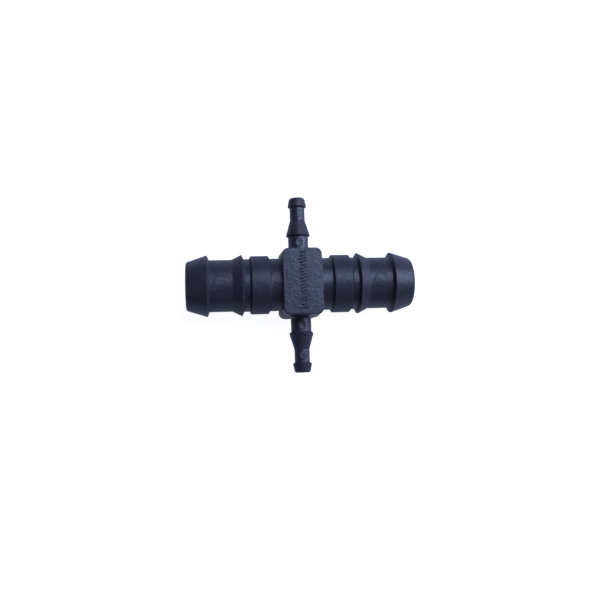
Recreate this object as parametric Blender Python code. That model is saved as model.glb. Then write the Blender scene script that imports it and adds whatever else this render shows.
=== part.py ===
"""Barbed reducing cross for drip irrigation.

Two run spigots take 13 mm tube, and two branch spigots take 4 mm tube.
Frame: +X along the run, +Y along the branches, +Z out of the hub's front face.
The origin is where the two bore axes cross. All sizes are in metres.
"""

import math

import bmesh
import bpy
from mathutils import Matrix, Vector

# Hub block. Half sizes and the plan corners' radius are at the parting line, the widest section.
HUB_HALF = Vector((0.00513, 0.00840, 0.00720))
HUB_CORNER_RADIUS = 0.00180
HUB_DRAFT = 0.00022
HUB_EDGE_RADIUS = 0.00032
HUB_CORNER_STEPS = 5
HUB_EDGE_STEPS = 3

# The one moulding is divided at the hub's walls, and the sections stand this far apart.
SECTION_GAP = 0.0003

# Run spigots, for tube of 13 mm bore. Stations are distances from the origin along X.
RUN_LENGTH = 0.02835
RUN_BORE = 0.00485
RUN_SHANK = 0.00646
RUN_NECK = 0.00658
RUN_BARB = 0.00770
RUN_COLLAR = 0.00728
RUN_TIP = 0.00597
RUN_TIP_ROUND = 0.00095
RUN_TIP_BARB_AT = 0.02310
RUN_SECOND_BARB_AT = 0.01455
RUN_SECOND_BARB_LEAD = 0.00245
RUN_BARB_BACK = 0.00050
RUN_COLLAR_FROM = 0.00758
RUN_COLLAR_TO = 0.01273
RUN_COLLAR_BEVEL = 0.00045
RUN_ROOT_ROUND = 0.00030
RUN_SEGMENTS = 48

# Branch spigots, for micro tube of 4 mm bore. Stations are distances from the origin along Y.
BRANCH_LENGTH = 0.02209
BRANCH_BORE = 0.00105
BRANCH_SHANK = 0.00189
BRANCH_NECK = 0.00253
BRANCH_BARB = 0.00306
BRANCH_TIP_BARB = 0.00238
BRANCH_TIP = 0.00195
BRANCH_TIP_ROUND = 0.00066
BRANCH_TIP_BARB_AT = 0.01985
BRANCH_SECOND_BARB_AT = 0.01232
BRANCH_SECOND_BARB_LEAD = 0.00400
BRANCH_BARB_BACK = 0.00040
BRANCH_ROOT_ROUND = 0.00045
BRANCH_SEGMENTS = 32

ROUND_STEPS = 3
BORE_OVERRUN = 0.002

PLASTIC_COLOUR = (0.024, 0.027, 0.045, 1.0)
PLASTIC_ROUGHNESS = 0.5
SHARP_ANGLE = math.radians(30)


def clear_scene():
    for old in list(bpy.data.objects):
        bpy.data.objects.remove(old)


def plastic():
    """The dark moulded plastic that all of the fitting is made of."""
    made = bpy.data.materials.new("body_plastic")
    made.use_nodes = True
    shader = made.node_tree.nodes["Principled BSDF"]
    shader.inputs["Base Color"].default_value = PLASTIC_COLOUR
    shader.inputs["Roughness"].default_value = PLASTIC_ROUGHNESS
    shader.inputs["Metallic"].default_value = 0.0
    return made


def link(name, mesh, material):
    made = bpy.data.objects.new(name, mesh)
    bpy.context.scene.collection.objects.link(made)
    mesh.materials.append(material)
    return made


def finished(name, shape):
    """A smooth-shaded mesh from a bmesh, its faces turned outwards and its real corners kept sharp."""
    bmesh.ops.recalc_face_normals(shape, faces=shape.faces)
    mesh = bpy.data.meshes.new(name)
    shape.to_mesh(mesh)
    shape.free()
    mesh.shade_smooth()
    mesh.set_sharp_from_angle(angle=SHARP_ANGLE)
    return mesh


def arc(centre, radius, start, end, steps):
    """Points of an arc in a plane, with its angles in radians."""
    angles = [start + (end - start) * step / steps for step in range(steps + 1)]
    return [(centre[0] + radius * math.cos(a), centre[1] + radius * math.sin(a)) for a in angles]


def root_round(wall, neck, radius):
    """The fillet where a spigot leaves the hub's wall, from the wall to the neck."""
    return arc((wall + radius, neck + radius), radius, math.pi, 1.5 * math.pi, ROUND_STEPS)


def tip_round(barb_at, barb, length, tip, radius):
    """The rounded rim of a spigot's open end, from the tip barb's cone to the flat end face."""
    slope = math.atan2(barb - tip, length - barb_at)
    centre = (length - radius, tip + radius * math.tan(slope) - radius / math.cos(slope))
    return arc(centre, radius, math.pi / 2 - slope, 0, ROUND_STEPS)


def run_section():
    """Closed section (along, out) of a run spigot: over its barbs, round its tip and back down its bore."""
    wall = HUB_HALF.x + SECTION_GAP
    return [
        *root_round(wall, RUN_NECK, RUN_ROOT_ROUND),
        (RUN_COLLAR_FROM, RUN_NECK),
        (RUN_COLLAR_FROM + RUN_COLLAR_BEVEL, RUN_COLLAR),
        (RUN_COLLAR_TO - RUN_COLLAR_BEVEL, RUN_COLLAR),
        (RUN_COLLAR_TO, RUN_NECK),
        (RUN_SECOND_BARB_AT - RUN_BARB_BACK, RUN_NECK),
        (RUN_SECOND_BARB_AT, RUN_BARB),
        (RUN_SECOND_BARB_AT + RUN_SECOND_BARB_LEAD, RUN_SHANK),
        (RUN_TIP_BARB_AT - RUN_BARB_BACK, RUN_SHANK),
        (RUN_TIP_BARB_AT, RUN_BARB),
        *tip_round(RUN_TIP_BARB_AT, RUN_BARB, RUN_LENGTH, RUN_TIP, RUN_TIP_ROUND),
        (RUN_LENGTH, RUN_BORE),
        (wall, RUN_BORE),
    ]


def branch_section():
    """Closed section (along, out) of a branch spigot, in the same order as the run's."""
    wall = HUB_HALF.y + SECTION_GAP
    return [
        *root_round(wall, BRANCH_NECK, BRANCH_ROOT_ROUND),
        (BRANCH_SECOND_BARB_AT - BRANCH_BARB_BACK, BRANCH_NECK),
        (BRANCH_SECOND_BARB_AT, BRANCH_BARB),
        (BRANCH_SECOND_BARB_AT + BRANCH_SECOND_BARB_LEAD, BRANCH_SHANK),
        (BRANCH_TIP_BARB_AT - BRANCH_BARB_BACK, BRANCH_SHANK),
        (BRANCH_TIP_BARB_AT, BRANCH_TIP_BARB),
        *tip_round(BRANCH_TIP_BARB_AT, BRANCH_TIP_BARB, BRANCH_LENGTH, BRANCH_TIP, BRANCH_TIP_ROUND),
        (BRANCH_LENGTH, BRANCH_BORE),
        (wall, BRANCH_BORE),
    ]


def turned(name, section, segments):
    """A mesh turned about +X from a closed section. A flat facet, not a corner, faces along +Z and -Z."""
    shape = bmesh.new()
    start = Matrix.Rotation(math.pi / segments, 3, "X")
    verts = [shape.verts.new(start @ Vector((along, 0, out))) for along, out in section]
    edges = [shape.edges.new((verts[i - 1], verts[i])) for i in range(len(verts))]
    bmesh.ops.spin(
        shape, geom=verts + edges, cent=(0, 0, 0), axis=(1, 0, 0), angle=2 * math.pi, steps=segments,
        use_merge=True,
    )
    return finished(name, shape)


def spigot(name, mesh, heading, material):
    """A spigot that points along the heading, an angle in the XY plane from +X."""
    made = link(name, mesh, material)
    made.rotation_euler.z = heading
    return made


def hub_outline(inset):
    """The hub's rounded plan outline, moved inwards from the parting line's by the inset."""
    radius = HUB_CORNER_RADIUS - inset
    reach = Vector((HUB_HALF.x - HUB_CORNER_RADIUS, HUB_HALF.y - HUB_CORNER_RADIUS))
    points = []
    for corner, (side_x, side_y) in enumerate(((1, 1), (-1, 1), (-1, -1), (1, -1))):
        start = corner * math.pi / 2
        centre = (side_x * reach.x, side_y * reach.y)
        points += arc(centre, radius, start, start + math.pi / 2, HUB_CORNER_STEPS)
    return points


def hub_levels():
    """(height, inset) of the hub's outlines, from the back face past the parting line to the front."""
    centre = (HUB_DRAFT + HUB_EDGE_RADIUS, HUB_HALF.z - HUB_EDGE_RADIUS)
    edge = arc(centre, HUB_EDGE_RADIUS, math.pi, math.pi / 2, HUB_EDGE_STEPS)
    front = [(height, inset) for inset, height in edge]
    back = [(-height, inset) for height, inset in reversed(front)]
    return [*back, (0, 0), *front]


def hub_mesh():
    """The hub block, drafted both ways from its parting line, with rounded corners and face edges."""
    shape = bmesh.new()
    rings = [
        [shape.verts.new((x, y, height)) for x, y in hub_outline(inset)]
        for height, inset in hub_levels()
    ]
    count = len(rings[0])
    for lower, upper in zip(rings[:-1], rings[1:]):
        for i in range(count):
            shape.faces.new((lower[i - 1], lower[i], upper[i], upper[i - 1]))
    shape.faces.new(rings[0])
    shape.faces.new(rings[-1])
    return finished("hub_block", shape)


def bore_cutter(name, heading, radius, half_length, segments, material):
    """A hidden round bar through the origin, faceted as the spigots are, that cuts one of the hub's bores."""
    shape = bmesh.new()
    bmesh.ops.create_cone(
        shape, cap_ends=True, segments=segments, radius1=radius, radius2=radius, depth=2 * half_length,
    )
    bmesh.ops.rotate(shape, verts=shape.verts, matrix=Matrix.Rotation(math.pi / segments, 3, "Z"))
    bmesh.ops.rotate(shape, verts=shape.verts, matrix=Matrix.Rotation(math.pi / 2, 3, "Y"))
    made = link(name, finished(name, shape), material)
    made.rotation_euler.z = heading
    made.hide_render = True
    made.display_type = "WIRE"
    return made


def hub_block(material):
    """The hub, with the run's bore and the branches' bore crossing inside it."""
    made = link("hub_block", hub_mesh(), material)
    bores = (
        ("run_bore_cutter", 0, RUN_BORE, HUB_HALF.x, RUN_SEGMENTS),
        ("branch_bore_cutter", math.pi / 2, BRANCH_BORE, HUB_HALF.y, BRANCH_SEGMENTS),
    )
    for name, heading, radius, half, segments in bores:
        cut = made.modifiers.new(name, "BOOLEAN")
        cut.operation = "DIFFERENCE"
        cut.solver = "EXACT"
        cut.object = bore_cutter(name, heading, radius, half + BORE_OVERRUN, segments, material)
    return made


def main():
    clear_scene()
    material = plastic()
    hub_block(material)
    run = turned("run_spigot", run_section(), RUN_SEGMENTS)
    branch = turned("branch_spigot", branch_section(), BRANCH_SEGMENTS)
    spigot("right_run_spigot", run, 0, material)
    spigot("left_run_spigot", run, math.pi, material)
    spigot("upper_branch_spigot", branch, math.pi / 2, material)
    spigot("lower_branch_spigot", branch, -math.pi / 2, material)


main()
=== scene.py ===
"""Looks of the barbed reducing cross: one dark plastic moulding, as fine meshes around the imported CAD.

Frame, in metres: +X along the run, +Y along the branches, +Z out of the hub's front face.
"""

import math

import bmesh
import bpy
from mathutils import Matrix, Vector


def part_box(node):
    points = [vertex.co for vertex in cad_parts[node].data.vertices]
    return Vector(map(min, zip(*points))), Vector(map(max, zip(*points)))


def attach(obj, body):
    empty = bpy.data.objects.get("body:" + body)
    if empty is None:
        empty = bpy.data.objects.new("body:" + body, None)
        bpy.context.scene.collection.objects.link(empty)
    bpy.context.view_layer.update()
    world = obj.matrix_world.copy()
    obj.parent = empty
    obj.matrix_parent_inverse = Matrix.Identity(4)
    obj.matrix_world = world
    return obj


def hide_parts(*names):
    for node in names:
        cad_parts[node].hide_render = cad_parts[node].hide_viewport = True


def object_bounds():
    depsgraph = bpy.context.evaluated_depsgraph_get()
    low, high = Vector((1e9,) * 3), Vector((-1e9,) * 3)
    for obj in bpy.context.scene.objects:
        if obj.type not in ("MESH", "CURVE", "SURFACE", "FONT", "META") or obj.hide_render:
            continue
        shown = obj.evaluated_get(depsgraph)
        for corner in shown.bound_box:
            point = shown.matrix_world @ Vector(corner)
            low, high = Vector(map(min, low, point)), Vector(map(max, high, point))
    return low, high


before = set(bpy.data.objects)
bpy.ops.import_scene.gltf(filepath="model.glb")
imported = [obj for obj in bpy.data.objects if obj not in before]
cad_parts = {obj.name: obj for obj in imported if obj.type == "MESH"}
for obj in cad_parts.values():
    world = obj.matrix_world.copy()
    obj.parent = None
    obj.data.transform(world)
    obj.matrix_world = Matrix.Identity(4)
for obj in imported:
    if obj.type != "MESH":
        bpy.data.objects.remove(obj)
cad_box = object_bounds()

MM = 0.001

# ---- Sizes read from the frame ----

HUB_HALF = Vector(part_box("hub_block")[1])
RUN_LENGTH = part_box("right_run_spigot")[1][0]
RUN_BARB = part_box("right_run_spigot")[1][1]
BRANCH_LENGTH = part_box("upper_branch_spigot")[1][1]
BRANCH_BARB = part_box("upper_branch_spigot")[1][0]
FLOOR_Z = cad_box[0][2]

# ---- Sizes that the frame's boxes don't give: the CAD's, and small rounds that it leaves out ----

HUB_CORNER = 1.80 * MM
HUB_DRAFT = 0.22 * MM
HUB_EDGE = 0.32 * MM

RUN_BORE = 4.85 * MM
RUN_SHANK = 6.46 * MM
RUN_NECK = 6.58 * MM
RUN_COLLAR = 7.28 * MM
RUN_TIP = 5.97 * MM
RUN_TIP_ROUND = 0.95 * MM
RUN_TIP_BARB_AT = 23.10 * MM
RUN_BARB_AT = 14.55 * MM
RUN_LEAD = 2.45 * MM
RUN_BACK = 0.50 * MM
RUN_COLLAR_FROM = 7.58 * MM
RUN_COLLAR_TO = 12.73 * MM
RUN_BEVEL = 0.45 * MM
RUN_ROOT = 0.30 * MM
RUN_HOLLOW_ROUND = 0.10 * MM
RUN_COLLAR_ROUND = 0.12 * MM
RUN_BARB_ROUND = 0.07 * MM
RUN_LEAD_ROUND = 0.40 * MM
RUN_BORE_ROUND = 0.15 * MM

BRANCH_BORE = 1.05 * MM
BRANCH_SHANK = 1.89 * MM
BRANCH_NECK = 2.53 * MM
BRANCH_TIP_BARB = 2.38 * MM
BRANCH_TIP = 1.95 * MM
BRANCH_TIP_ROUND = 0.66 * MM
BRANCH_TIP_BARB_AT = 19.85 * MM
BRANCH_BARB_AT = 12.32 * MM
BRANCH_LEAD = 4.00 * MM
BRANCH_BACK = 0.40 * MM
BRANCH_ROOT = 0.45 * MM
BRANCH_HOLLOW_ROUND = 0.08 * MM
BRANCH_BARB_ROUND = 0.06 * MM
BRANCH_LEAD_ROUND = 0.60 * MM
BRANCH_BORE_ROUND = 0.10 * MM

# ---- Fine detail of the moulding ----

RUN_STATIONS = 176
BRANCH_STATIONS = 112
RUN_CUT_SEGMENTS = 144
BRANCH_CUT_SEGMENTS = 64
ROUND_STEP = math.radians(15)
SUPPORT = 0.10 * MM
EMBED = 0.35 * MM
BORE_CLEARANCE = 0.015 * MM
RIDGE_PROUD = 0.02 * MM
RIDGE_HALF_WIDTH = 0.06 * MM
FACE_CROWN = 0.06 * MM
FACE_RINGS = (0.96, 0.85, 0.70, 0.54, 0.38, 0.22, 0.08)
SHARP = math.radians(32)

RUN_MARK_AT = 19.75 * MM
RUN_MARK_RADIUS = 1.98 * MM
BRANCH_NECK_MARK_AT = 10.40 * MM
BRANCH_NECK_MARK_RADIUS = 0.98 * MM
BRANCH_SHANK_MARK_AT = 17.85 * MM
BRANCH_SHANK_MARK_RADIUS = 0.88 * MM
MARK_GROOVE = 0.03 * MM
MARK_SUNK = 0.012 * MM
PAD_SUNK = 0.08 * MM
PAD_EDGE = 0.05 * MM
NECK_DISH = 0.07 * MM
MARK_SEGMENTS = 72

TICKS = 18
TICK_PITCH = 0.79 * MM
TICK_LENGTHS = (1.95 * MM, 1.30 * MM, 1.65 * MM)
TICK_HEIGHT = 0.32 * MM
TICK_WIDTH = 0.30 * MM
TICK_ROUND = 0.06 * MM
TICK_SLANT = math.radians(20)
TICKS_LEAN = math.radians(1.2)
TICKS_CENTRE = Vector((0.26 * MM, 0.38 * MM))

# Polish of each stretch of surface: 0 is the plastic's usual gloss, 1 far glossier, -1 far duller.
NECK_POLISH = 0.3
BACK_POLISH = -0.4
BORE_POLISH = 0.4
END_POLISH = -0.5
HUB_POLISH = 0.5
TICK_POLISH = -1.0
UPPER_BRANCH_POLISH = 1.2
LOWER_BRANCH_POLISH = 0.9

BODY = "root"


# ---- Outlines ----


def arc(centre, radius, start, end, step=ROUND_STEP):
    """Points of an arc in a plane, at most one step apart, angles in radians."""
    count = max(2, math.ceil(abs(end - start) / step))
    angles = [start + (end - start) * i / count for i in range(count + 1)]
    return [(centre[0] + radius * math.cos(a), centre[1] + radius * math.sin(a)) for a in angles]


def rounded(corners):
    """Rounds a chain of (along, out, radius, polish) corners. Returns (along, out, edge, polish) points.

    A corner's polish is that of the stretch after it. edge is 1 on a ridge's round, -1 in a hollow's and
    0 elsewhere. A point is set on each side of every round, so that shading and wear stay close to it.
    """
    points = [(corners[0][0], corners[0][1], 0, corners[0][3])]
    for before, here, after in zip(corners, corners[1:], corners[2:]):
        at = Vector(here[:2])
        back = (Vector(before[:2]) - at).normalized()
        on = (Vector(after[:2]) - at).normalized()
        half = back.angle(on) / 2
        radius = here[2]
        reach = radius / math.tan(half)
        centre = at + (back + on).normalized() * radius / math.sin(half)
        first = at + back * reach - centre
        last = at + on * reach - centre
        start = math.atan2(first.y, first.x)
        turn = math.atan2(first.x * last.y - first.y * last.x, first.dot(last))
        edge = 1 if turn < 0 else -1
        before_round = at + back * (reach + SUPPORT)
        after_round = at + on * (reach + SUPPORT)
        points.append((*before_round, 0, before[3]))
        points += [(*point, edge, here[3]) for point in arc(centre, radius, start, start + turn)]
        points.append((*after_round, 0, here[3]))
    points.append((corners[-1][0], corners[-1][1], 0, corners[-1][3]))
    return points


def root_points(wall, neck, radius, polish):
    """The fillet out of the hub's wall, with a skirt that stays hidden inside the hub."""
    fillet = arc((wall + radius, neck + radius), radius, math.pi, 1.5 * math.pi)
    return [(wall - EMBED, neck + radius, 0, polish), *((*point, -1, polish) for point in fillet)]


def run_section():
    wall = HUB_HALF.x
    chain = rounded([
        (wall + RUN_ROOT, RUN_NECK, 0, NECK_POLISH),
        (RUN_COLLAR_FROM, RUN_NECK, RUN_HOLLOW_ROUND, 0.0),
        (RUN_COLLAR_FROM + RUN_BEVEL, RUN_COLLAR, RUN_COLLAR_ROUND, -0.2),
        (RUN_COLLAR_TO - RUN_BEVEL, RUN_COLLAR, RUN_COLLAR_ROUND, BACK_POLISH),
        (RUN_COLLAR_TO, RUN_NECK, RUN_HOLLOW_ROUND, NECK_POLISH),
        (RUN_BARB_AT - RUN_BACK, RUN_NECK, RUN_HOLLOW_ROUND, BACK_POLISH),
        (RUN_BARB_AT, RUN_BARB, RUN_BARB_ROUND, -0.5),
        (RUN_BARB_AT + RUN_LEAD, RUN_SHANK, RUN_LEAD_ROUND, 0.0),
        (RUN_TIP_BARB_AT - RUN_BACK, RUN_SHANK, RUN_HOLLOW_ROUND, BACK_POLISH),
        (RUN_TIP_BARB_AT, RUN_BARB, RUN_BARB_ROUND, 0.2),
        (RUN_LENGTH, RUN_TIP, RUN_TIP_ROUND, END_POLISH),
        (RUN_LENGTH, RUN_BORE, RUN_BORE_ROUND, BORE_POLISH),
        (wall - EMBED, RUN_BORE, 0, BORE_POLISH),
    ])
    return root_points(wall, RUN_NECK, RUN_ROOT, NECK_POLISH) + chain[1:]


def branch_section(shine):
    """shine is the polish of the neck and the shank."""
    wall = HUB_HALF.y
    chain = rounded([
        (wall + BRANCH_ROOT, BRANCH_NECK, 0, shine),
        (BRANCH_BARB_AT - BRANCH_BACK, BRANCH_NECK, BRANCH_HOLLOW_ROUND, BACK_POLISH),
        (BRANCH_BARB_AT, BRANCH_BARB, BRANCH_BARB_ROUND, 0.0),
        (BRANCH_BARB_AT + BRANCH_LEAD, BRANCH_SHANK, BRANCH_LEAD_ROUND, shine),
        (BRANCH_TIP_BARB_AT - BRANCH_BACK, BRANCH_SHANK, BRANCH_HOLLOW_ROUND, BACK_POLISH),
        (BRANCH_TIP_BARB_AT, BRANCH_TIP_BARB, BRANCH_BARB_ROUND, 0.0),
        (BRANCH_LENGTH, BRANCH_TIP, BRANCH_TIP_ROUND, 0.0),
        (BRANCH_LENGTH, BRANCH_BORE, BRANCH_BORE_ROUND, BORE_POLISH),
        (wall - EMBED, BRANCH_BORE, 0, BORE_POLISH),
    ])
    return root_points(wall, BRANCH_NECK, BRANCH_ROOT, shine) + chain[1:]


# ---- Meshes ----


def object_of(name, mesh):
    made = bpy.data.objects.new(name, mesh)
    bpy.context.scene.collection.objects.link(made)
    return made


def outward(mesh):
    shape = bmesh.new()
    shape.from_mesh(mesh)
    bmesh.ops.recalc_face_normals(shape, faces=shape.faces)
    shape.to_mesh(mesh)
    shape.free()


def mesh_of(name, verts, faces, **attributes):
    """A mesh with its faces pointing out, and one number for each vertex under each attribute's name."""
    mesh = bpy.data.meshes.new(name)
    mesh.from_pydata(verts, [], faces)
    for key, values in attributes.items():
        mesh.attributes.new(key, "FLOAT", "POINT").data.foreach_set("value", values)
    outward(mesh)
    return mesh


def ring_faces(first, second, size):
    """Quads between two rings of vertices that start at these indices."""
    after = [(i + 1) % size for i in range(size)]
    return [(first + i, first + j, second + j, second + i) for i, j in enumerate(after)]


def stations(count, reach):
    """Angles round a spigot, three close together at each side, where the parting line's ridge runs."""
    ridge = RIDGE_HALF_WIDTH / reach
    half = [ridge + (math.pi - 2 * ridge) * i / (count // 2) for i in range(count // 2 + 1)]
    return [0, *half, math.pi, *(angle + math.pi for angle in half)]


def wall_inset(z):
    """How far the hub's drafted wall lies inside its parting line at height z."""
    return HUB_DRAFT * min(abs(z) / (HUB_HALF.z - HUB_EDGE), 1)


def turned(name, section, count, neck, bore, heading):
    """A hollow spigot: the section turned about the heading, its root following the hub's wall."""
    verts = []
    edges = []
    polish = []
    root_end = section[0][0] + EMBED + SUPPORT
    for angle in stations(count, neck):
        on_ridge = abs(math.sin(angle)) < 1e-6
        for along, out, edge, shine in section:
            proud = RIDGE_PROUD if on_ridge and out > bore + 2 * SUPPORT else 0
            y = (out + proud) * math.cos(angle)
            z = (out + proud) * math.sin(angle)
            shift = wall_inset(z) if along < root_end else 0
            verts.append((along - shift, y, z))
            edges.append(edge)
            polish.append(shine)
    size = len(section)
    rings = len(verts) // size
    faces = []
    for ring in range(rings):
        faces += ring_faces(ring * size, (ring + 1) % rings * size, size)
    mesh = mesh_of(name, verts, faces, edge=edges, polish=polish)
    mesh.transform(Matrix.Rotation(heading, 4, "Z"))
    return object_of(name, mesh)


def hub_outline(inset):
    """The hub's rounded rectangle, this far inside its parting line."""
    points = []
    for quarter, (side_x, side_y) in enumerate(((1, 1), (-1, 1), (-1, -1), (1, -1))):
        start = quarter * math.pi / 2
        centre = (side_x * (HUB_HALF.x - HUB_CORNER), side_y * (HUB_HALF.y - HUB_CORNER))
        points += arc(centre, HUB_CORNER - inset, start, start + math.pi / 2, math.radians(7.5))
    return points


def hub_levels():
    """(height, inset, edge) of the hub's outlines, from the parting line's ridge to the face's rim."""
    centre = (HUB_DRAFT + HUB_EDGE, HUB_HALF.z - HUB_EDGE)
    edge = arc(centre, HUB_EDGE, math.pi, math.pi / 2, math.radians(11.25))
    below = HUB_HALF.z - HUB_EDGE - SUPPORT
    return [
        (RIDGE_HALF_WIDTH, wall_inset(RIDGE_HALF_WIDTH), 0),
        (below, wall_inset(below), 0),
        *((height, inset, 1) for inset, height in edge),
        (HUB_HALF.z, HUB_DRAFT + HUB_EDGE + SUPPORT, 0),
    ]


def hub_mesh():
    """The drafted block, with a fine ridge at its parting line and slightly crowned faces."""
    front = hub_levels()
    back = [(-height, inset, edge) for height, inset, edge in reversed(front)]
    verts = []
    edges = []
    for height, inset, edge in [*back, (0, -RIDGE_PROUD, 0), *front]:
        verts += [(x, y, height) for x, y in hub_outline(inset)]
        edges += [edge] * (len(verts) - len(edges))
    size = len(hub_outline(0))
    levels = len(verts) // size
    faces = []
    for level in range(levels - 1):
        faces += ring_faces(level * size, (level + 1) * size, size)
    for side, rim in ((-1, 0), (1, (levels - 1) * size)):
        outer = rim
        for share in FACE_RINGS:
            inner = len(verts)
            height = side * (HUB_HALF.z + FACE_CROWN * (1 - share * share))
            verts += [(x * share, y * share, height) for x, y, _ in verts[rim:rim + size]]
            faces += ring_faces(outer, inner, size)
            outer = inner
        faces.append(tuple(range(outer, outer + size)))
    edges += [0] * (len(verts) - len(edges))
    return mesh_of("hub_body", verts, faces, edge=edges, polish=[HUB_POLISH] * len(verts))


def bar(name, heading, radius, half_length, segments):
    """A round bar through the origin, for cutting a bore."""
    shape = bmesh.new()
    bmesh.ops.create_cone(
        shape, cap_ends=True, segments=segments, radius1=radius, radius2=radius, depth=2 * half_length,
    )
    turn = Matrix.Rotation(heading, 3, "Z") @ Matrix.Rotation(math.pi / 2, 3, "Y")
    bmesh.ops.rotate(shape, verts=shape.verts, matrix=turn)
    mesh = bpy.data.meshes.new(name)
    shape.to_mesh(mesh)
    shape.free()
    return object_of(name, mesh)


def plug(name, centre, rings, height, end):
    """A round solid that stands along Z. rings are (radius, level) from the middle out.

    height(x, y, level) gives the z of a ring's points, and the other side is flat, at z = end.
    """
    verts = [(*centre, height(*centre, rings[0][1]))]
    for radius, level in rings:
        for x, y in arc(centre, radius, 0, 2 * math.pi, 2 * math.pi / MARK_SEGMENTS)[:-1]:
            verts.append((x, y, height(x, y, level)))
    verts += [(x, y, end) for x, y, _ in verts[-MARK_SEGMENTS:]]
    faces = [(0, 1 + i, 1 + (i + 1) % MARK_SEGMENTS) for i in range(MARK_SEGMENTS)]
    for ring in range(len(rings)):
        faces += ring_faces(1 + ring * MARK_SEGMENTS, 1 + (ring + 1) * MARK_SEGMENTS, MARK_SEGMENTS)
    faces.append(tuple(range(len(verts) - MARK_SEGMENTS, len(verts))))
    return object_of(name, mesh_of(name, verts, faces))


def level_height(x, y, level):
    return level


def combine(piece, steps):
    """Cuts or joins each (operation, other) with the piece for good, in turn, and removes the others."""
    for operation, other in steps:
        boolean = piece.modifiers.new(other.name, "BOOLEAN")
        boolean.operation = operation
        boolean.solver = "EXACT"
        boolean.object = other
    graph = bpy.context.evaluated_depsgraph_get()
    result = bpy.data.meshes.new_from_object(piece.evaluated_get(graph))
    piece.modifiers.clear()
    piece.data = result
    for _, other in steps:
        bpy.data.objects.remove(other)


def contoured_mark(name, centre, radius, outside, round_about, clear):
    """A cutter for a pin mark that follows a spigot's round: a barely sunk disc in a fine groove.

    round_about is 0 or 1, the coordinate of a point that its spigot curves with.
    """

    def height(x, y, depth):
        return math.sqrt((outside - depth) ** 2 - (x, y)[round_about] ** 2)

    disc = [(radius * share, MARK_SUNK) for share in (0.2, 0.4, 0.6, 0.8, 0.93)]
    groove = [(radius * share, MARK_GROOVE) for share in (0.955, 1.0)]
    return [("DIFFERENCE", plug(name, centre, disc + groove, height, clear))]


def level_pad(name, centre, radius, outside, dish, clear):
    """A pin's level end: sunk at a thin spigot's crest, proud of its sides, and dished by this much."""
    top = outside - PAD_SUNK
    flat = radius - PAD_EDGE
    floor_level = top - dish - MARK_GROOVE
    hollow = plug(name + "_hollow", centre, [(radius + MARK_GROOVE, floor_level)], level_height, clear)
    rings = [(flat * share, top - dish * (1 - share * share)) for share in (0.2, 0.4, 0.6, 0.8, 1.0)]
    rings += [(radius - PAD_EDGE / 3, top - PAD_EDGE / 4), (radius, top - PAD_EDGE)]
    pad = plug(name + "_pad", centre, rings, level_height, outside * 0.6)
    return [("DIFFERENCE", hollow), ("UNION", pad)]


def finish_piece(piece, material, node=None):
    """Gives the piece its material and shading, puts it under its body, and hides the CAD node that it
    stands for, if any.
    """
    piece.data.materials.clear()
    piece.data.materials.append(material)
    piece.data.shade_smooth()
    piece.data.set_sharp_from_angle(angle=SHARP)
    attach(piece, BODY)
    if node:
        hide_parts(node)


# ---- Pieces ----


def run_spigot(name, node, heading, material):
    """A run spigot, with a wide faint pin mark in its shank."""
    piece = turned(name, run_section(), RUN_STATIONS, RUN_NECK, RUN_BORE, heading)
    centre = (RUN_MARK_AT * round(math.cos(heading)), 0)
    combine(piece, contoured_mark("shank_mark", centre, RUN_MARK_RADIUS, RUN_SHANK, 1, RUN_BARB))
    finish_piece(piece, material, node)


def branch_spigot(name, node, heading, shine, material):
    """A branch spigot, with pin marks in neck and shank. Only the upper shank's mark follows its round."""
    piece = turned(name, branch_section(shine), BRANCH_STATIONS, BRANCH_NECK, BRANCH_BORE, heading)
    side = round(math.sin(heading))
    neck = (0, BRANCH_NECK_MARK_AT * side)
    shank = (0, BRANCH_SHANK_MARK_AT * side)
    steps = level_pad("neck_mark", neck, BRANCH_NECK_MARK_RADIUS, BRANCH_NECK, NECK_DISH, BRANCH_BARB)
    radius = BRANCH_SHANK_MARK_RADIUS
    if side > 0:
        steps += contoured_mark("shank_mark", shank, radius, BRANCH_SHANK, 0, BRANCH_BARB)
    else:
        steps += level_pad("shank_mark", shank, radius, BRANCH_SHANK, 0, BRANCH_BARB)
    combine(piece, steps)
    finish_piece(piece, material, node)


def hub(material):
    piece = object_of("hub_body", hub_mesh())
    run = bar("run_bore", 0, RUN_BORE + BORE_CLEARANCE, 2 * HUB_HALF.x, RUN_CUT_SEGMENTS)
    branch_radius = BRANCH_BORE + BORE_CLEARANCE
    branch = bar("branch_bore", math.pi / 2, branch_radius, 2 * HUB_HALF.y, BRANCH_CUT_SEGMENTS)
    combine(piece, [("DIFFERENCE", run), ("DIFFERENCE", branch)])
    finish_piece(piece, material, "hub_block")


def face_ticks(material):
    """A column of slanted raised strokes, in place of the lettering on the real face."""
    shape = bmesh.new()
    for i in range(TICKS):
        long = TICK_LENGTHS[i % len(TICK_LENGTHS)]
        along = Vector((0, (i - (TICKS - 1) / 2) * TICK_PITCH))
        at = (TICKS_CENTRE + Matrix.Rotation(TICKS_LEAN, 2) @ along).to_3d()
        at.z = HUB_HALF.z + FACE_CROWN
        size = Matrix.Diagonal((long, TICK_WIDTH, 2 * TICK_HEIGHT)).to_4x4()
        place = Matrix.Translation(at) @ Matrix.Rotation(TICK_SLANT, 4, "Z") @ size
        made = bmesh.ops.create_cube(shape, size=1, matrix=place)
        edges = {edge for vert in made["verts"] for edge in vert.link_edges}
        kept = [edge for edge in edges if any(vert.co.z > at.z for vert in edge.verts)]
        bmesh.ops.bevel(shape, geom=kept, offset=TICK_ROUND, segments=3, profile=0.5, affect="EDGES")
    mesh = bpy.data.meshes.new("hub_face_ticks")
    shape.to_mesh(mesh)
    shape.free()
    polish = mesh.attributes.new("polish", "FLOAT", "POINT")
    polish.data.foreach_set("value", [TICK_POLISH] * len(mesh.vertices))
    finish_piece(object_of("hub_face_ticks", mesh), material)


# ---- Materials ----


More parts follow.
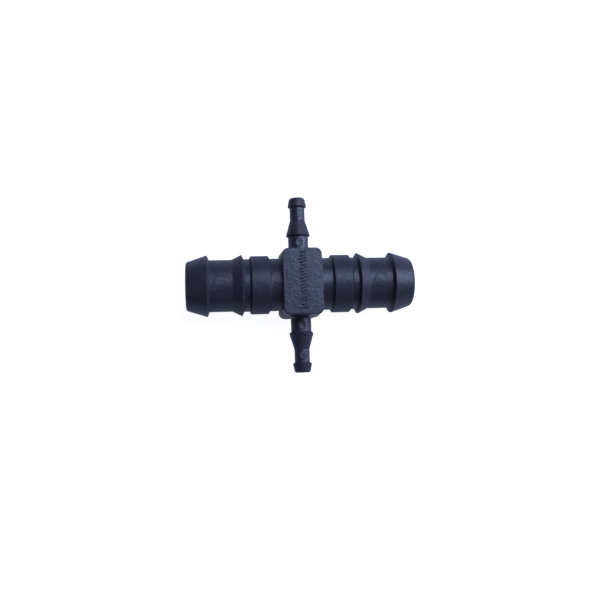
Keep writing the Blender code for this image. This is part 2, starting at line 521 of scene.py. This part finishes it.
class Nodes:
    """Short ways to add and link shader nodes."""

    def __init__(self, name):
        self.material = bpy.data.materials.new(name)
        self.material.use_nodes = True
        self.tree = self.material.node_tree
        self.shader = self.tree.nodes["Principled BSDF"]
        self.place = self.add("ShaderNodeTexCoord").outputs["Object"]

    def add(self, kind, **settings):
        node = self.tree.nodes.new(kind)
        for key, value in settings.items():
            setattr(node, key, value)
        return node

    def feed(self, socket, value):
        """Puts a number or a colour on the socket, or links another socket to it."""
        if isinstance(value, bpy.types.NodeSocket):
            self.tree.links.new(value, socket)
        else:
            socket.default_value = value

    def noise(self, scale, detail, roughness=0.5):
        """Noise with this many features to the metre."""
        node = self.add("ShaderNodeTexNoise")
        self.feed(node.inputs["Vector"], self.place)
        self.feed(node.inputs["Scale"], scale)
        self.feed(node.inputs["Detail"], detail)
        self.feed(node.inputs["Roughness"], roughness)
        return node.outputs["Fac"]

    def rings(self, axis, scale):
        """Fine bands across an axis, slightly uneven, as a turned mould leaves them."""
        node = self.add("ShaderNodeTexWave", wave_type="BANDS", bands_direction=axis)
        self.feed(node.inputs["Vector"], self.place)
        self.feed(node.inputs["Scale"], scale)
        self.feed(node.inputs["Distortion"], 1.2)
        self.feed(node.inputs["Detail"], 2.0)
        return node.outputs["Fac"]

    def spread(self, value, low, high, to_low=0.0, to_high=1.0):
        node = self.add("ShaderNodeMapRange")
        keys = ("Value", "From Min", "From Max", "To Min", "To Max")
        for key, given in zip(keys, (value, low, high, to_low, to_high)):
            self.feed(node.inputs[key], given)
        return node.outputs["Result"]

    def maths(self, operation, first, second):
        node = self.add("ShaderNodeMath", operation=operation)
        self.feed(node.inputs[0], first)
        self.feed(node.inputs[1], second)
        return node.outputs["Value"]

    def attribute(self, name):
        return self.add("ShaderNodeAttribute", attribute_name=name).outputs["Fac"]

    def blend(self, share, first, second):
        node = self.add("ShaderNodeMix", data_type="RGBA")
        self.feed(node.inputs["Factor"], share)
        ends = [socket for socket in node.inputs if socket.type == "RGBA"]
        self.feed(ends[0], first)
        self.feed(ends[1], second)
        return next(socket for socket in node.outputs if socket.type == "RGBA")

    def bump(self, height, distance, below=None):
        node = self.add("ShaderNodeBump")
        self.feed(node.inputs["Distance"], distance)
        self.feed(node.inputs["Height"], height)
        if below:
            self.feed(node.inputs["Normal"], below)
        return node.outputs["Normal"]


# Features to the metre of each kind of surface detail.
CLOUDS = 420
WORN_PATCHES = 1500
SPECKS = 2600
GLOSS_PATCHES = 900
GRAIN = 3000
TURNED_RINGS = 900
RIPPLES = 1300

HUB_GRAIN = 0.040 * MM
SPIGOT_GRAIN = 0.026 * MM
TURNED_RING_DEPTH = 0.0012 * MM
RIPPLE_DEPTH = 0.085 * MM
POLISH_EFFECT = 0.12

PLASTIC_DARK = (0.029, 0.029, 0.049, 1)
PLASTIC_LIGHT = (0.037, 0.036, 0.061, 1)
PLASTIC_WORN = (0.047, 0.049, 0.072, 1)
DUST = (0.20, 0.20, 0.22, 1)
PLASTIC_SHEEN = (0.74, 0.80, 1.0, 1)


def moulded_plastic(name, grain, rings=None):
    """Dark blue-black moulded plastic.

    grain is the depth of its fine eroded texture. rings is the axis that its mould was turned about.
    """
    nodes = Nodes(name)
    shader = nodes.shader
    cloud = nodes.spread(nodes.noise(CLOUDS, 4), 0.35, 0.65)
    colour = nodes.blend(cloud, PLASTIC_DARK, PLASTIC_LIGHT)
    ridge = nodes.spread(nodes.attribute("edge"), 0, 1)
    patchy = nodes.spread(nodes.noise(WORN_PATCHES, 4, 0.6), 0.42, 0.70)
    wear = nodes.maths("MULTIPLY", ridge, patchy)
    colour = nodes.blend(wear, colour, PLASTIC_WORN)
    dust = nodes.spread(nodes.noise(SPECKS, 1, 0.4), 0.78, 0.81)
    colour = nodes.blend(dust, colour, DUST)
    nodes.feed(shader.inputs["Base Color"], colour)
    uneven = nodes.spread(nodes.noise(GLOSS_PATCHES, 5, 0.6), 0.3, 0.7, 0.36, 0.46)
    polished = nodes.maths("MULTIPLY", nodes.attribute("polish"), POLISH_EFFECT)
    nodes.feed(shader.inputs["Roughness"], nodes.maths("SUBTRACT", uneven, polished))
    nodes.feed(shader.inputs["Specular IOR Level"], nodes.maths("ADD", polished, 0.5))
    nodes.feed(shader.inputs["Specular Tint"], PLASTIC_SHEEN)
    normal = nodes.bump(nodes.noise(GRAIN, 3, 0.6), grain)
    if rings:
        normal = nodes.bump(nodes.rings(rings, TURNED_RINGS), TURNED_RING_DEPTH, normal)
    normal = nodes.bump(nodes.noise(RIPPLES, 3), RIPPLE_DEPTH, normal)
    nodes.feed(shader.inputs["Normal"], normal)
    return nodes.material


FLOOR_TONES = ((0.38, 0.42, 0.52, 1), (0.41, 0.45, 0.55, 1))
FLOOR_WHITE = (1, 1, 1, 1)
FLOOR_REFLECTED = (0.69, 0.76, 1.0, 1)
FLOOR_SEEN_GLOW = 0.95
FLOOR_REFLECTED_GLOW = 0.29


def floor_material():
    """Matt card. Only the camera and the object's reflections see its glow."""
    nodes = Nodes("pale_floor")
    inputs = nodes.shader.inputs
    tone = nodes.spread(nodes.noise(30, 2), 0.3, 0.7)
    nodes.feed(inputs["Base Color"], nodes.blend(tone, *FLOOR_TONES))
    nodes.feed(inputs["Roughness"], 0.9)
    rays = nodes.add("ShaderNodeLightPath").outputs
    seen = nodes.maths("MULTIPLY", rays["Is Camera Ray"], FLOOR_SEEN_GLOW)
    reflected = nodes.maths("MULTIPLY", rays["Is Glossy Ray"], FLOOR_REFLECTED_GLOW)
    nodes.feed(inputs["Emission Color"], nodes.blend(seen, FLOOR_REFLECTED, FLOOR_WHITE))
    nodes.feed(inputs["Emission Strength"], nodes.maths("ADD", seen, reflected))
    return nodes.material


# ---- Stage ----


FLOOR_RADIUS = 2.5


def floor():
    shape = bmesh.new()
    bmesh.ops.create_circle(shape, cap_ends=True, segments=96, radius=FLOOR_RADIUS)
    mesh = bpy.data.meshes.new("floor")
    shape.to_mesh(mesh)
    shape.free()
    mesh.materials.append(floor_material())
    made = object_of("floor", mesh)
    made.location.z = FLOOR_Z


LIGHT_DISTANCE = 0.6
COOL_DAYLIGHT = (0.70, 0.81, 1.0)
FILL_TINT = (0.88, 0.80, 1.0, 1)
FILL_STRENGTH = 0.10
BACKDROP_STRENGTH = 1.5


def soft_light(name, azimuth, elevation, size, power):
    """A soft rectangular light that faces the object. Its azimuth is in degrees from +X towards +Y."""
    data = bpy.data.lights.new(name, "AREA")
    data.shape = "RECTANGLE"
    data.size, data.size_y = size
    data.energy = power
    data.color = COOL_DAYLIGHT
    made = bpy.data.objects.new(name, data)
    bpy.context.scene.collection.objects.link(made)
    level = math.cos(math.radians(elevation))
    towards = Vector((
        level * math.cos(math.radians(azimuth)),
        level * math.sin(math.radians(azimuth)),
        math.sin(math.radians(elevation)),
    ))
    made.location = towards * LIGHT_DISTANCE
    made.rotation_euler = towards.to_track_quat("Z", "Y").to_euler()


def studio():
    """A low window on the right, a light overhead, faint fill, and a white backdrop behind it all."""
    soft_light("window", 16.0, 31.5, (0.34, 0.46), 2.22)
    soft_light("overhead", 54.0, 61.0, (0.34, 0.34), 1.88)
    world = bpy.data.worlds.new("studio")
    bpy.context.scene.world = world
    world.use_nodes = True
    tree = world.node_tree
    sky = tree.nodes["Background"]
    sky.inputs["Color"].default_value = FILL_TINT
    seen = tree.nodes.new("ShaderNodeLightPath").outputs["Is Camera Ray"]
    fill = tree.nodes.new("ShaderNodeMapRange")
    fill.inputs["To Min"].default_value = FILL_STRENGTH
    fill.inputs["To Max"].default_value = BACKDROP_STRENGTH
    tree.links.new(seen, fill.inputs["Value"])
    tree.links.new(fill.outputs["Result"], sky.inputs["Strength"])
    bpy.context.scene.view_settings.view_transform = "Standard"


CAMERA_LENS = 44.26
CAMERA_SHIFT = (-0.0087, -0.0172)
CAMERA_LEFT = 0.1246
CAMERA_BELOW = 0.1239
CAMERA_ROLL = -0.0364
CAMERA_DISTANCE = 0.1824


def camera():
    """Looks down at the hub from slightly left of and below it, a little rolled. Angles are in radians."""
    data = bpy.data.cameras.new("camera")
    data.sensor_width = 36.0
    data.lens = CAMERA_LENS
    data.shift_x, data.shift_y = CAMERA_SHIFT
    data.clip_start = 0.01
    data.clip_end = 10.0
    towards = Vector((-math.sin(CAMERA_LEFT), -math.sin(CAMERA_BELOW), 0))
    towards.z = math.sqrt(1 - towards.length_squared)
    right = Vector((0, 1, 0)).cross(towards).normalized()
    up = towards.cross(right)
    roll = Matrix.Rotation(CAMERA_ROLL, 3, towards)
    axes = Matrix((roll @ right, roll @ up, towards)).transposed()
    made = bpy.data.objects.new("camera", data)
    bpy.context.scene.collection.objects.link(made)
    made.matrix_world = Matrix.Translation(towards * CAMERA_DISTANCE) @ axes.to_4x4()
    bpy.context.scene.camera = made


def main():
    camera()
    hub_plastic = moulded_plastic("hub_plastic", HUB_GRAIN)
    run_plastic = moulded_plastic("run_plastic", SPIGOT_GRAIN, "X")
    branch_plastic = moulded_plastic("branch_plastic", SPIGOT_GRAIN, "Y")
    hub(hub_plastic)
    face_ticks(hub_plastic)
    run_spigot("right_run_body", "right_run_spigot", 0, run_plastic)
    run_spigot("left_run_body", "left_run_spigot", math.pi, run_plastic)
    branch_spigot(
        "upper_branch_body", "upper_branch_spigot", math.pi / 2, UPPER_BRANCH_POLISH, branch_plastic,
    )
    branch_spigot(
        "lower_branch_body", "lower_branch_spigot", -math.pi / 2, LOWER_BRANCH_POLISH, branch_plastic,
    )
    floor()
    studio()


main()
